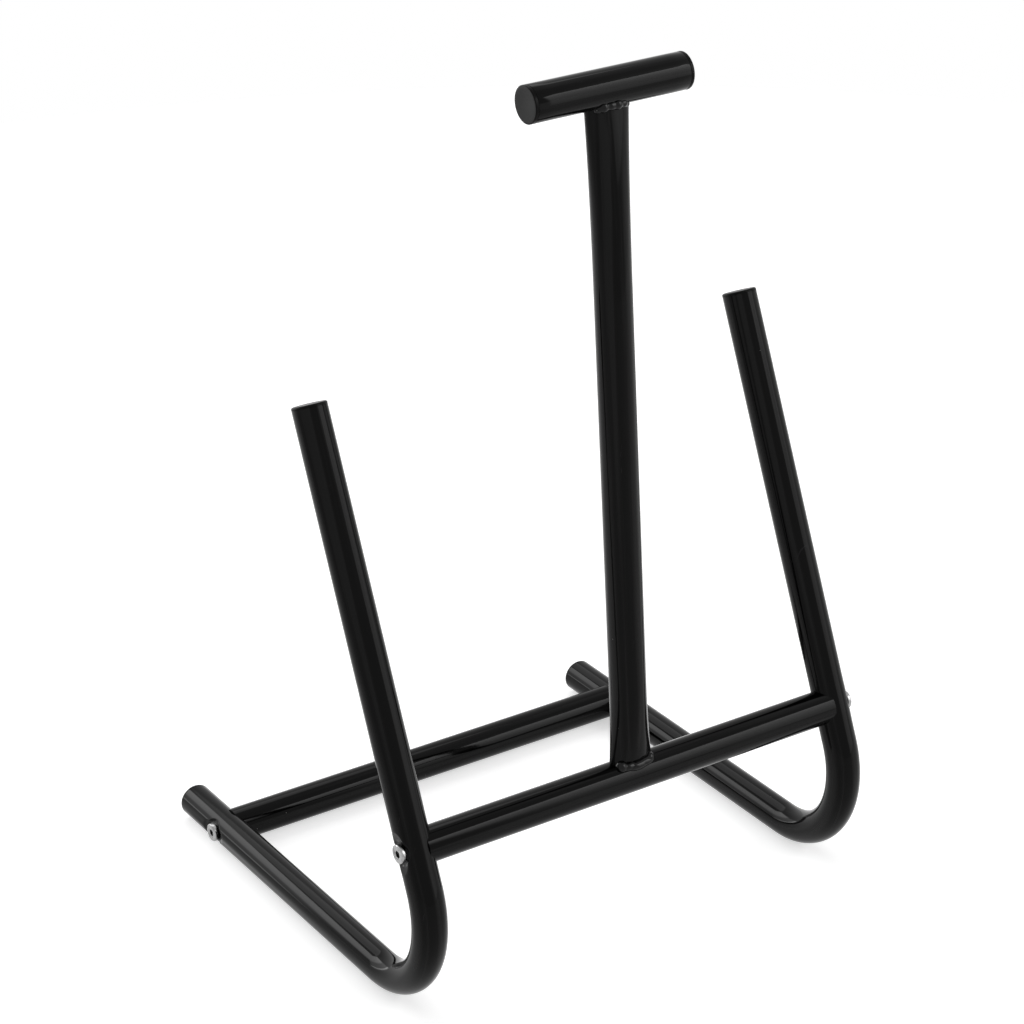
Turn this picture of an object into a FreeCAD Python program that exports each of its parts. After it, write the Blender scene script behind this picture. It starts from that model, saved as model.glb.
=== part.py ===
import FreeCAD, Part
import math
import os

# Boot rack of steel tube. Two side tubes lie on the floor, bend up at the front and lean back as
# legs, over which a pair of boots hangs upside down. Two cross tubes are bolted between the side
# tubes, and a post welded on the front one carries a T handle.
# Frame: +X to the right, +Y to the rear, +Z up, in millimetres. The origin is on the floor, at the
# middle of the area that the rack covers.

Vector = FreeCAD.Vector

# Side tubes
side_tube_od = 25.4
side_tube_wall = 1.5
side_spacing = 360.0            # between the axes of the two side tubes
floor_leg_length = 282.0        # straight run on the floor, from the bend to the open end
bend_radius = 70.0              # to the tube's axis
leg_lean = 22.5                 # degrees that the legs lean back from upright
leg_length = 340.0              # straight run above the bend

# Cross tubes
cross_tube_od = 26.0
cross_tube_wall = 1.5
front_cross_up_leg = 29.0       # axis of the front cross tube, along the leg from the bend
rear_cross_inset = 50.5         # axis of the rear cross tube, from the open end of the floor leg
cope_lip = 5.0                  # the coped ends stop this far short of the side tube's axis

# Post, with its ends pressed oval
post_tube_od = 26.5
post_tube_wall = 1.5
post_length = 502.0             # from the cross tube's axis to the handle's axis
post_lean = 3.0                 # degrees that the post leans back from upright
post_end_width = 34.0           # left to right
post_end_depth = 16.5           # front to back
post_foot_press = 70.0          # length of the oval foot, from the cross tube's axis
post_top_press = 150.0          # length of the oval top, from the handle's axis
press_stations = 6              # steps of a pressed surface, from oval to round or along a swelling

# Handle
handle_tube_od = 26.0
handle_tube_wall = 1.5
handle_length = 120.0

# Weld beads
weld_leg = 4.0
weld_pitch = 3.2                # from one ripple to the next
foot_weld_length = 25.5
handle_weld_length = 22.5
back_weld_length = 16.0         # of the short beads at the back of both post ends

# Bolts and the places pressed flat for them
bolt_d = 8.0
bolt_hole_clearance = 0.3       # on the radius, in the side tube
bolt_head_d = 14.0
bolt_head_height = 3.0
bolt_head_chamfer = 1.1
bolt_tip_chamfer = 0.8
socket_across_flats = 5.0
socket_sides = 6
socket_depth = 1.9
thread_engagement = 16.0
press_depth = 1.6               # how deep the side tube is pressed in under the head
press_flat_length = 13.0
press_blend_radius = 25.0       # rounds the pressed flat into the tube
press_swell = 0.2               # how far the leg swells round the pressed flat
press_swell_length = 40.0       # stretch of the leg that swells

# Threaded inserts
insert_length = 20.0
insert_gap = 0.2                # to the side tube
insert_clearance = 0.05         # on the radius, in the cross tube
thread_clearance = 0.05         # on the radius, round the bolt

# End caps
cap_flange = 2.0                # of the caps on the side tubes
cap_edge_radius = 1.5
handle_cap_flange = 2.5
handle_cap_edge_radius = 0.6
cap_stub_length = 14.0
cap_stub_wall = 1.6
cap_rib_height = 0.7
cap_rib_count = 3
cap_clearance = 0.05            # on the radius, from the ribs to the bore

# Places that follow from the sizes
side_r = side_tube_od / 2
cross_r = cross_tube_od / 2
post_r = post_tube_od / 2
handle_r = handle_tube_od / 2
side_x = side_spacing / 2
lean = math.radians(leg_lean)
up_leg = Vector(0, math.sin(lean), math.cos(lean))
bend_centre_y = (bend_radius + side_r - floor_leg_length - cap_flange) / 2
bend_centre = Vector(0, bend_centre_y, side_r + bend_radius)
bend_end = bend_centre + Vector(0, -math.cos(lean), math.sin(lean)) * bend_radius
leg_tip = bend_end + up_leg * leg_length
floor_leg_end = Vector(0, bend_centre_y + floor_leg_length, side_r)
front_cross = bend_end + up_leg * front_cross_up_leg
rear_cross = floor_leg_end - Vector(0, rear_cross_inset, 0)
post_tilt = FreeCAD.Rotation(Vector(1, 0, 0), -post_lean)
handle_centre = front_cross + post_tilt.multVec(Vector(0, 0, post_length))
head_seat = side_r - press_depth
insert_seat = side_r + press_swell + insert_gap
SIDES = {"left": -1, "right": 1}


def at_side(point, sign):
    """The point, moved from the middle plane onto the axis of one side tube."""
    return Vector(sign * side_x, point.y, point.z)


def moved(shape, placement):
    """A copy of the shape, moved as it stands."""
    copy = shape.copy()
    copy.Placement = placement.multiply(shape.Placement)
    return copy


def cylinder(radius, start, end):
    """A solid cylinder from start to end."""
    return Part.makeCylinder(radius, (end - start).Length, start, end - start)


def turned(points, start, axis):
    """A solid turned from (radius, height) points; a third value bulges the run into an arc."""
    edges = []
    for here, there in zip(points, points[1:] + points[:1]):
        a = Vector(here[0], 0, here[1])
        b = Vector(there[0], 0, there[1])
        if len(there) == 3:
            reach = math.sqrt(0.5)
            middle = Vector(a.x + (b.x - a.x) * reach, 0, b.z + (a.z - b.z) * reach)
            edges.append(Part.Arc(a, middle, b).toShape())
        else:
            edges.append(Part.LineSegment(a, b).toShape())
    face = Part.Face(Part.Wire(edges))
    solid = face.revolve(Vector(0, 0, 0), Vector(0, 0, 1), 360)
    solid.Placement = FreeCAD.Placement(start, FreeCAD.Rotation(Vector(0, 0, 1), axis))
    return solid


# ---- Side tubes ----

def at_bolt(shape, sign, centre, along):
    """The shape, moved from the bolt's local frame to one crossing of a side and a cross tube."""
    outwards = Vector(sign, 0, 0)
    turn = FreeCAD.Rotation(outwards, along.cross(outwards), along, "ZXY")
    return moved(shape, FreeCAD.Placement(at_side(centre, sign), turn))


def side_sweep(sign, radius):
    """A solid round rod along the axis of one side tube."""
    rear = at_side(floor_leg_end, sign)
    low = at_side(Vector(0, bend_centre_y, side_r), sign)
    front = at_side(bend_centre - Vector(0, bend_radius, 0), sign)
    high = at_side(bend_end, sign)
    tip = at_side(leg_tip, sign)
    path = Part.Wire([
        Part.LineSegment(rear, low).toShape(),
        Part.Arc(low, front, high).toShape(),
        Part.LineSegment(high, tip).toShape(),
    ])
    section = Part.Wire(Part.Circle(rear, Vector(0, 1, 0), radius).toShape())
    return path.makePipeShell([section], True, False)


def swollen_stretch(radius):
    """The stretch of leg that swells round the pressed flat, turned about local +Z."""
    along = Vector(0, 0, 1)
    points = []
    for i in range(press_stations + 1):
        height = press_swell_length * (i / press_stations - 0.5)
        swell = press_swell * math.cos(math.pi * height / press_swell_length) ** 2
        points.append(Vector(radius + swell, 0, height))
    low = Vector(0, 0, points[0].z)
    high = Vector(0, 0, points[-1].z)
    side = Part.BSplineCurve()
    side.interpolate(Points=points, InitialTangent=along, FinalTangent=along)
    outline = Part.Wire([
        side.toShape(),
        Part.LineSegment(points[-1], high).toShape(),
        Part.LineSegment(high, low).toShape(),
        Part.LineSegment(low, points[0]).toShape(),
    ])
    return Part.Face(outline).revolve(Vector(0, 0, 0), along, 360)


def side_rod(sign, inset):
    """One side tube as a solid rod, with the leg swollen round its pressed flat.

    The floor leg is held while it is pressed, so it stays round and lies flat on the floor.
    """
    half = Vector(0, 0, press_swell_length / 2)
    gap = at_bolt(cylinder(side_tube_od, half * -1, half), sign, front_cross, up_leg)
    swollen = at_bolt(swollen_stretch(side_r - inset), sign, front_cross, up_leg)
    return side_sweep(sign, side_r - inset).cut(gap).fuse(swollen)


def press_tool(inset):
    """Cutter for the pressed flat: local +X is outwards and local +Z runs along the tube."""
    floor_x = head_seat - inset
    outer_x = side_r + press_depth
    radius = press_blend_radius + inset
    turn = math.acos(1 - min((outer_x - floor_x) / radius, 1))

    def blend(angle, end):
        """A point of the blend, at an angle from where it leaves the flat."""
        run = press_flat_length / 2 + radius * math.sin(angle)
        return Vector(floor_x + radius * (1 - math.cos(angle)), 0, end * run)

    face = Part.Face(Part.Wire([
        Part.Arc(blend(turn, -1), blend(turn / 2, -1), blend(0, -1)).toShape(),
        Part.LineSegment(blend(0, -1), blend(0, 1)).toShape(),
        Part.Arc(blend(0, 1), blend(turn / 2, 1), blend(turn, 1)).toShape(),
        Part.LineSegment(blend(turn, 1), blend(turn, -1)).toShape(),
    ]))
    tool = face.extrude(Vector(0, side_tube_od, 0))
    tool.translate(Vector(0, -side_r, 0))
    return tool


def side_tube(sign):
    """One side tube: pressed flat and drilled where each bolt passes."""
    outer = side_rod(sign, 0)
    bore = side_rod(sign, side_tube_wall)
    drill = Part.makeCylinder(bolt_d / 2 + bolt_hole_clearance, 2 * side_tube_od,
                              Vector(-side_tube_od, 0, 0), Vector(1, 0, 0))
    for centre, along in CROSSINGS.values():
        outer = outer.cut(at_bolt(press_tool(0), sign, centre, along))
        bore = bore.cut(at_bolt(press_tool(side_tube_wall), sign, centre, along))
    tube = outer.cut(bore)
    for centre, along in CROSSINGS.values():
        tube = tube.cut(at_bolt(drill, sign, centre, along))
    return tube


# ---- Cross tubes ----

def cross_tube(centre):
    """One cross tube, coped round both side tubes."""
    half = Vector(side_x - cope_lip, 0, 0)
    tube = cylinder(cross_r, centre - half, centre + half)
    tube = tube.cut(cylinder(cross_r - cross_tube_wall, centre - half, centre + half))
    for sign in SIDES.values():
        tube = tube.cut(side_rod(sign, 0))
    return tube


# ---- Post, handle and their welds ----

def oval(width, depth, height):
    """An oval outline across local +Z, at a height."""
    stretch = FreeCAD.Matrix()
    stretch.scale(width / 2, depth / 2, 1)
    ring = Part.Circle().toShape().transformGeometry(stretch)
    ring.translate(Vector(0, 0, height))
    return Part.Wire(ring.Edges)


def pressed_end(inset, seat, length):
    """A post end on local +Z: oval from the origin to the seat, then round at the length."""
    round_d = post_tube_od - 2 * inset
    width = post_end_width - 2 * inset
    depth = post_end_depth - 2 * inset
    rings = []
    for i in range(press_stations + 1):
        share = (1 - i / press_stations) ** 2
        height = seat + (length - seat) * i / press_stations
        rings.append(oval(round_d + (width - round_d) * share, round_d + (depth - round_d) * share, height))
    stub = Part.Face(oval(width, depth, 0)).extrude(Vector(0, 0, seat))
    return stub.fuse(Part.makeLoft(rings, True, False))


def post_rod(inset):
    """The post as a solid on local +Z, from the cross tube's axis to the handle's axis."""
    foot = pressed_end(inset, cross_r, post_foot_press)
    top = pressed_end(inset, handle_r, post_top_press)
    top.rotate(Vector(0, 0, 0), Vector(1, 0, 0), 180)
    top.translate(Vector(0, 0, post_length))
    shaft_foot = Vector(0, 0, post_foot_press)
    shaft_top = Vector(0, 0, post_length - post_top_press)
    shaft = cylinder(post_r - inset, shaft_foot, shaft_top)
    return foot.fuse([shaft, top])


def on_post(shape):
    """The shape, moved from the post's local frame to its place on the front cross tube."""
    return moved(shape, FreeCAD.Placement(front_cross, post_tilt))


def cross_rod():
    """The front cross tube as a solid in the post's local frame."""
    return cylinder(cross_r, Vector(-side_x, 0, 0), Vector(side_x, 0, 0))


def handle_rod(radius):
    """The handle as a solid in the post's local frame."""
    half = Vector(handle_length / 2, 0, 0)
    top = Vector(0, 0, post_length)
    return cylinder(radius, top - half, top + half)


def post_tube():
    """The post, coped onto the cross tube and under the handle."""
    tube = post_rod(0).cut(post_rod(post_tube_wall))
    return on_post(tube.cut([cross_rod(), handle_rod(handle_r)]))


def handle_tube():
    """The handle's tube."""
    return on_post(handle_rod(handle_r).cut(handle_rod(handle_r - handle_tube_wall)))


def weld_beads(front_length, radius, height, direction):
    """Front and back bead where the oval post end meets a tube of the given radius."""
    beads = []
    for face, length in ((-1, front_length), (1, back_weld_length)):
        count = max(2, round(length / weld_pitch)) + 1
        ripples = []
        for i in range(count):
            x = length * (i / (count - 1) - 0.5)
            y = face * post_end_depth / 2 * math.sqrt(1 - min(1, (2 * x / post_end_width) ** 2))
            root = math.sqrt(radius ** 2 - min(radius ** 2, y ** 2))
            ripples.append(Part.makeSphere(weld_leg, Vector(x, y, height + direction * root)))
        bead = ripples[0].fuse(ripples[1:])
        for rod in (cross_rod(), handle_rod(handle_r), post_rod(0)):
            bead = bead.cut(rod)
        beads.append(bead)
    return on_post(Part.makeCompound(beads))


# ---- Bolts and inserts, in the bolt's local frame ----

def bolt():
    """Socket bolt on local X, its head outwards."""
    shank_length = head_seat + insert_seat + thread_engagement
    head_r = bolt_head_d / 2
    shank_r = bolt_d / 2
    body = turned([
        (0, bolt_head_height),
        (head_r - bolt_head_chamfer, bolt_head_height),
        (head_r, bolt_head_height - bolt_head_chamfer),
        (head_r, 0),
        (shank_r, 0),
        (shank_r, bolt_tip_chamfer - shank_length),
        (shank_r - bolt_tip_chamfer, -shank_length),
        (0, -shank_length),
    ], Vector(head_seat, 0, 0), Vector(1, 0, 0))
    side_turn = 2 * math.pi / socket_sides
    corner_r = socket_across_flats / 2 / math.cos(side_turn / 2)
    outer_x = head_seat + bolt_head_height
    corners = [Vector(outer_x, corner_r * math.cos(side_turn * i), corner_r * math.sin(side_turn * i))
               for i in range(socket_sides + 1)]
    socket = Part.Face(Part.makePolygon(corners)).extrude(Vector(-socket_depth, 0, 0))
    return body.cut(socket)


def insert():
    """Threaded insert behind the side tube, on local X."""
    start = Vector(-insert_seat, 0, 0)
    end = start - Vector(insert_length, 0, 0)
    plug = cylinder(cross_r - cross_tube_wall - insert_clearance, start, end)
    return plug.cut(cylinder(bolt_d / 2 + thread_clearance, start, end))


# ---- End caps ----

def end_cap(tube_r, tube_wall, flange, edge_radius, start, axis):
    """Push-in cap: a flange flush with the tube, and a hollow ribbed stub in its bore."""
    edge = min(edge_radius, 0.9 * flange)
    rib_r = tube_r - tube_wall - cap_clearance
    core_r = rib_r - cap_rib_height
    cup_r = core_r - cap_stub_wall
    profile = [(0, flange), (tube_r - edge, flange), (tube_r, flange - edge, "arc")]
    profile += [(tube_r, 0), (core_r, 0)]
    pitch = cap_stub_length / cap_rib_count
    for i in range(cap_rib_count):
        barb = -pitch * (i + 0.5)
        profile += [(core_r, barb), (rib_r, barb), (core_r, -pitch * (i + 1))]
    profile += [(cup_r, -cap_stub_length), (cup_r, 0), (0, 0)]
    return turned(profile, start, axis)


# ---- The whole rack ----

CROSSINGS = {
    "front": (front_cross, up_leg),
    "rear": (rear_cross, Vector(0, 1, 0)),
}


def build():
    """All the pieces by node name."""
    nodes = {
        "front_cross_tube": cross_tube(front_cross),
        "rear_cross_tube": cross_tube(rear_cross),
        "post_tube": post_tube(),
        "handle_tube": handle_tube(),
        "foot_weld": weld_beads(foot_weld_length, cross_r, 0, 1),
        "handle_weld": weld_beads(handle_weld_length, handle_r, post_length, -1),
    }
    for side, sign in SIDES.items():
        nodes["side_tube_" + side] = side_tube(sign)
        for row, (centre, along) in CROSSINGS.items():
            nodes["bolt_" + row + "_" + side] = at_bolt(bolt(), sign, centre, along)
            nodes["insert_" + row + "_" + side] = at_bolt(insert(), sign, centre, along)
        nodes["rear_cap_" + side] = end_cap(side_r, side_tube_wall, cap_flange, cap_edge_radius,
                                            at_side(floor_leg_end, sign), Vector(0, 1, 0))
        nodes["leg_cap_" + side] = end_cap(side_r, side_tube_wall, cap_flange, cap_edge_radius,
                                           at_side(leg_tip, sign), up_leg)
        handle_end = handle_centre + Vector(sign * handle_length / 2, 0, 0)
        nodes["handle_cap_" + side] = end_cap(handle_r, handle_tube_wall, handle_cap_flange,
                                              handle_cap_edge_radius, handle_end, Vector(sign, 0, 0))
    return nodes


os.makedirs("parts", exist_ok=True)
for name, shape in build().items():
    shape.exportStep("parts/" + name + ".step")
    print(name, "solids", len(shape.Solids), "valid", shape.isValid(), "volume %.1f" % shape.Volume)
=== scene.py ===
import logging
import math
from dataclasses import dataclass
from enum import Enum
from functools import lru_cache
from typing import Callable, Iterable, Mapping, Optional, Sequence, Union

import bmesh
import bpy
from mathutils import Matrix, Vector


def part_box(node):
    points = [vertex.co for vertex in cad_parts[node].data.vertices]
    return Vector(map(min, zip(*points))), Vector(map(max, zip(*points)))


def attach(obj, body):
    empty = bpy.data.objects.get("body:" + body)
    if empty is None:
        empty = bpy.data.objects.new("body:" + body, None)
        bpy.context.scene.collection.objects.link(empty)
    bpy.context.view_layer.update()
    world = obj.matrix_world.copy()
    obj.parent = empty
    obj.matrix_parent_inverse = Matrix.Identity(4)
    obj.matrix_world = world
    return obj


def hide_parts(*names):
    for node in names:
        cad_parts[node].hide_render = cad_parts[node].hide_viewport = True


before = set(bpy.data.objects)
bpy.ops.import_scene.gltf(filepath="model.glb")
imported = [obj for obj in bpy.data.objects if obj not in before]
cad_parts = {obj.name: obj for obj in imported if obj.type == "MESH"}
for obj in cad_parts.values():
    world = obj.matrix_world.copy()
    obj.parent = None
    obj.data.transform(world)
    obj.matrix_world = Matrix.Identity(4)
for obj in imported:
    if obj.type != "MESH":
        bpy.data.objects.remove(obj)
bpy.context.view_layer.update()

LOG = logging.getLogger("boot_rack")
GRAIN = "tube_grain"
MM = 0.001
SAME = 1e-6
UP = Vector((0.0, 0.0, 1.0))
RIGHT = Vector((1.0, 0.0, 0.0))
REARWARDS = Vector((0.0, 1.0, 0.0))

Colour = tuple[float, float, float, float]
Stretch = tuple[float, float, float]
Section = Callable[[Vector], Vector]
SocketValue = Union[bpy.types.NodeSocket, float, Colour]


# ---------------------------------------------------------------------------------------------
# Names and options
# ---------------------------------------------------------------------------------------------

class Side(Enum):
    """The two sides of the rack, with the sign of their X."""

    LEFT = -1
    RIGHT = 1

    @property
    def label(self) -> str:
        """The side's name in lower case."""
        return self.name.lower()


class Row(Enum):
    """The two places where a cross tube is bolted to a side tube."""

    FRONT = "front"
    REAR = "rear"


class Face(Enum):
    """The front and the back of the post, with the sign of their Y."""

    FRONT = -1
    BACK = 1


class Slot(Enum):
    """Names for the finishes of the pieces that are modelled here."""

    PAINT = "gloss_black_paint"
    PLASTIC = "black_plastic"
    ZINC = "bright_zinc"


# ---------------------------------------------------------------------------------------------
# Sizes read from the frame
# ---------------------------------------------------------------------------------------------

@lru_cache(maxsize=None)
def node_box(node: str) -> tuple[Vector, Vector]:
    """The low and high corner of one of the frame's nodes, read once."""
    low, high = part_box(node)
    return Vector(low).freeze(), Vector(high).freeze()


@dataclass(frozen=True)
class RackFrame:
    """Places of the tubes' axes, read from the frame's nodes, in metres."""

    bend_radius: float = 70.0 * MM
    leg_lean: float = math.radians(22.5)
    leg_length: float = 340.0 * MM
    side_flange: float = 2.0 * MM
    press_depth: float = 1.6 * MM

    @staticmethod
    def middle(node: str) -> Vector:
        """The middle of a node's box."""
        low, high = node_box(node)
        return (low + high) / 2

    @staticmethod
    def extent(node: str) -> Vector:
        """The size of a node's box."""
        low, high = node_box(node)
        return high - low

    @property
    def side_radius(self) -> float:
        """Outer radius of a side tube."""
        return self.extent("rear_cap_left").x / 2

    @property
    def side_x(self) -> float:
        """Distance from the middle plane to a side tube's axis."""
        return self.middle("rear_cap_right").x

    @property
    def floor_end_y(self) -> float:
        """Where the side tube's metal ends at the rear, and its cap begins."""
        return node_box("rear_cap_left")[1].y - self.side_flange

    @property
    def bend_centre(self) -> Vector:
        """Centre of the bend, in the middle plane."""
        front = node_box("side_tube_left")[0].y
        return Vector((0.0, front + self.side_radius + self.bend_radius,
                       self.side_radius + self.bend_radius))

    @property
    def up_leg(self) -> Vector:
        """Direction of a leg, from the bend to the tip."""
        return Vector((0.0, math.sin(self.leg_lean), math.cos(self.leg_lean)))

    @property
    def bend_end(self) -> Vector:
        """Where the bend ends and the leg begins, in the middle plane."""
        outwards = Vector((0.0, -math.cos(self.leg_lean), math.sin(self.leg_lean)))
        return self.bend_centre + outwards * self.bend_radius

    def cross_axis(self, row: Row) -> Vector:
        """A point of a cross tube's axis, in the middle plane."""
        middle = self.middle(row.value + "_cross_tube")
        return Vector((0.0, middle.y, middle.z))

    @property
    def cross_radius(self) -> float:
        """Outer radius of a cross tube."""
        return self.extent("rear_cross_tube").z / 2

    @property
    def handle_radius(self) -> float:
        """Outer radius of the handle."""
        return self.extent("handle_tube").z / 2

    @property
    def handle_middle(self) -> Vector:
        """Middle of the handle's axis."""
        middle = self.middle("handle_tube")
        return Vector((0.0, middle.y, middle.z))

    @property
    def post_length(self) -> float:
        """From the front cross tube's axis to the handle's axis."""
        return (self.handle_middle - self.cross_axis(Row.FRONT)).length

    @property
    def post_place(self) -> Matrix:
        """Placement of the post's own frame: its foot on the cross tube's axis, +Z along it."""
        foot = self.cross_axis(Row.FRONT)
        return axes_matrix(foot, RIGHT, (self.handle_middle - foot).normalized())

    def crossing(self, row: Row, side: Side) -> Vector:
        """Where a cross tube's axis meets a side tube's axis."""
        axis = self.cross_axis(row)
        return Vector((side.value * self.side_x, axis.y, axis.z))

    def along(self, row: Row) -> Vector:
        """Direction of the side tube at a crossing."""
        return self.up_leg if row is Row.FRONT else REARWARDS


def axes_matrix(origin: Vector, local_x: Vector, local_z: Vector) -> Matrix:
    """Builds a placement from an origin and two axes.

    Args:
        origin: Where the local origin goes.
        local_x: Direction of the local X axis.
        local_z: Direction of the local Z axis, square to local_x.

    Returns:
        The 4 by 4 placement.
    """
    x = local_x.normalized()
    z = local_z.normalized()
    y = z.cross(x)
    turn = Matrix((x, y, z)).transposed().to_4x4()
    return Matrix.Translation(origin) @ turn


# ---------------------------------------------------------------------------------------------
# Shaping
# ---------------------------------------------------------------------------------------------

class Blank:
    """A mesh object while it is shaped with operators, as by hand."""

    def __init__(self, name: str) -> None:
        """Takes over the active object.

        Args:
            name: Name of the piece.
        """
        self.object = bpy.context.active_object
        self.object.name = name
        self.object.data.name = name

    @classmethod
    def ring(cls, name: str, radius: float, count: int, place: Matrix) -> "Blank":
        """Adds an open ring of vertices round local Z.

        Args:
            name: Name of the piece.
            radius: Radius of the ring.
            count: Number of vertices.
            place: Placement of the ring.

        Returns:
            The new blank, with its place in its mesh.
        """
        clear_selection()
        bpy.ops.mesh.primitive_circle_add(vertices=count, radius=radius, fill_type="NOTHING")
        blank = cls(name)
        blank.bake(place)
        return blank

    @classmethod
    def rod(cls, name: str, radius: float, low: float, high: float, count: int) -> "Blank":
        """Adds a closed cylinder along local Z.

        Args:
            name: Name of the piece.
            radius: Its radius.
            low: Its lower end.
            high: Its upper end.
            count: Vertices round it.

        Returns:
            The new blank.
        """
        clear_selection()
        bpy.ops.mesh.primitive_cylinder_add(vertices=count, radius=radius, depth=high - low,
                                            location=(0.0, 0.0, (low + high) / 2))
        blank = cls(name)
        blank.bake(Matrix.Identity(4))
        return blank

    def focus(self) -> None:
        """Makes this the only selected object."""
        clear_selection()
        self.object.select_set(True)
        bpy.context.view_layer.objects.active = self.object

    def bake(self, place: Matrix) -> None:
        """Moves the object and puts the place into its mesh.

        Args:
            place: Placement to add to where it stands.
        """
        self.focus()
        self.object.matrix_world = place @ self.object.matrix_world
        bpy.ops.object.transform_apply(location=True, rotation=True, scale=True)

    def edit(self) -> bmesh.types.BMesh:
        """Opens the mesh in edit mode.

        Returns:
            The edit mesh.
        """
        self.focus()
        bpy.ops.object.mode_set(mode="EDIT")
        bpy.ops.mesh.select_mode(type="VERT")
        mesh = bmesh.from_edit_mesh(self.object.data)
        mesh.verts.ensure_lookup_table()
        return mesh

    def edit_all(self) -> None:
        """Opens the mesh in edit mode with all of it selected."""
        self.edit()
        bpy.ops.mesh.select_all(action="SELECT")

    def close(self) -> None:
        """Goes back to object mode."""
        bpy.ops.object.mode_set(mode="OBJECT")

    def select(self, mesh: bmesh.types.BMesh, verts: Iterable[bmesh.types.BMVert]) -> None:
        """Selects only the given vertices.

        Args:
            mesh: The edit mesh.
            verts: The vertices to select.
        """
        bpy.ops.mesh.select_all(action="DESELECT")
        for vert in verts:
            vert.select_set(True)
        mesh.select_flush(True)
        bmesh.update_edit_mesh(self.object.data)

    def extrude(self, step: Vector) -> None:
        """Extrudes what is selected by a step."""
        bpy.ops.mesh.extrude_region_move(TRANSFORM_OT_translate={"value": step})

    def run(self, direction: Vector, stops: Sequence[float]) -> None:
        """Extrudes the selected ring from stop to stop along a straight axis.

        Args:
            direction: Unit direction of the run.
            stops: Distances along it, from where the ring stands to the end.
        """
        for here, there in zip(stops, stops[1:]):
            self.extrude(direction * (there - here))

    def apply(self, kind: str, **settings: object) -> None:
        """Adds a modifier with its settings and applies it.

        Args:
            kind: The modifier's type.
            settings: Property names and values.
        """
        self.focus()
        modifier = self.object.modifiers.new(kind.lower(), kind)
        for name, value in settings.items():
            setattr(modifier, name, value)
        bpy.ops.object.modifier_apply(modifier=modifier.name)

    def thicken(self, wall: float) -> None:
        """Gives an open skin its wall, inwards."""
        self.apply("SOLIDIFY", thickness=wall, offset=-1.0, use_even_offset=True)

    def cut(self, cutter: "Blank") -> None:
        """Cuts another blank out of this one and deletes it."""
        self.apply("BOOLEAN", operation="DIFFERENCE", solver="EXACT", object=cutter.object)
        bpy.data.objects.remove(cutter.object)

    def round_edges(self, width: float, segments: int, angle: float) -> None:
        """Bevels every edge that is sharper than an angle."""
        self.apply("BEVEL", width=width, segments=segments, limit_method="ANGLE", angle_limit=angle,
                   harden_normals=False)

    def smooth(self, angle: float = math.radians(35.0)) -> None:
        """Shades smooth, with edges above an angle kept sharp."""
        self.focus()
        bpy.ops.object.shade_smooth_by_angle(angle=angle)

    def outwards(self) -> None:
        """Merges doubles and turns every face outwards."""
        self.edit_all()
        bpy.ops.mesh.remove_doubles(threshold=SAME)
        bpy.ops.mesh.normals_make_consistent(inside=False)
        self.close()

    def lay_grain(self, section: Section) -> None:
        """Stores where each point lies in its tube, for patterns that follow the tube.

        Args:
            section: Turns a place into two distances across the tube and one along it.
        """
        values = [part for vert in self.object.data.vertices for part in section(vert.co)]
        layer = self.object.data.attributes.new(GRAIN, "FLOAT_VECTOR", "POINT")
        layer.data.foreach_set("vector", values)

    def copy(self, name: str, place: Matrix) -> "Blank":
        """Copies the blank with its own mesh.

        Args:
            name: Name of the copy.
            place: Placement of the copy.

        Returns:
            The copy.
        """
        self.focus()
        bpy.ops.object.duplicate(linked=False)
        twin = Blank(name)
        twin.bake(place)
        return twin

    def finish(self, material: bpy.types.Material, slot: Slot, *nodes: str) -> bpy.types.Object:
        """Dresses the piece, hangs it on the rack's body and lets it stand for its nodes.

        Args:
            material: Its finish.
            slot: Not used.
            nodes: The frame's nodes that it stands for.

        Returns:
            The finished object.
        """
        self.object.data.materials.clear()
        self.object.data.materials.append(material)
        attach(self.object, "root")
        if nodes:
            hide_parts(*nodes)
        return self.object


def clear_selection() -> None:
    """Deselects every object."""
    if bpy.context.active_object and bpy.context.active_object.mode != "OBJECT":
        bpy.ops.object.mode_set(mode="OBJECT")
    bpy.ops.object.select_all(action="DESELECT")


def spread(low: float, high: float, step: float) -> list[float]:
    """Evenly spaced stops from low to high, about a step apart."""
    count = max(1, round((high - low) / step))
    return [low + (high - low) * i / count for i in range(count + 1)]


def straight_grain(start: Vector, along: Vector) -> Section:
    """Section places of a straight tube that lies along X.

    Args:
        start: A point of its axis.
        along: Its direction.

    Returns:
        The function that turns a place into a section place.
    """
    def section(place: Vector) -> Vector:
        """Two distances across and one along.

        Args:
            place: A point of the tube.

        Returns:
            Its section place.
        """
        offset = place - start
        height = offset.dot(along)
        across = offset - along * height
        return Vector((across.y, across.z, height))
    return section


# ---------------------------------------------------------------------------------------------
# Shader building
# ---------------------------------------------------------------------------------------------

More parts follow.
